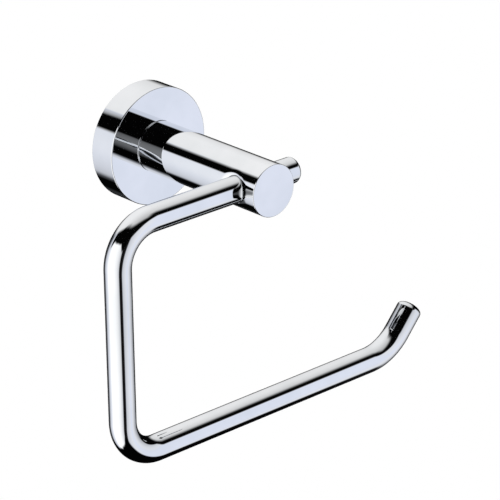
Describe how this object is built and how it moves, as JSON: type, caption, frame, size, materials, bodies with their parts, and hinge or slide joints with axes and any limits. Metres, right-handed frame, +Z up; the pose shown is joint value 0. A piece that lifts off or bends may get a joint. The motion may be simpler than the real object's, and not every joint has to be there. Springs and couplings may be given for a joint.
{
  "type": "toilet paper holder",
  "caption": "Wall-mounted toilet roll holder: a round flange, a straight post, and a bent round bar that swings in the post's cross bore and has an upturned tip.",
  "frame": {"origin": "centre of the wall face, on the post's axis", "axes": "+Y into the wall, so the room is on -Y; +X to the right for someone who faces the wall; +Z up"},
  "size_m": [0.1854, 0.0895, 0.141],
  "materials": {
    "chrome": "mirror-polished chrome plate on brass",
    "zinc": "die-cast zinc, tumbled",
    "steel": "bright zinc-plated steel"
  },
  "bodies": {
    "holder": {"wall_bracket": "zinc", "flange_cover": "chrome", "flange_set_screw": "steel", "post": "chrome", "post_screw": "steel", "post_spring_washer": "steel", "post_washer": "steel", "post_locating_pin": "steel", "arm_set_screw": "steel"},
    "arm": {"arm": "chrome"}
  },
  "joints": [
    {"name": "arm_swing", "type": "hinge", "parent": "holder", "child": "arm", "pos_m": [0, -0.0765, 0], "axis": [1, 0, 0], "range_deg": [-220, 40]}
  ]
}
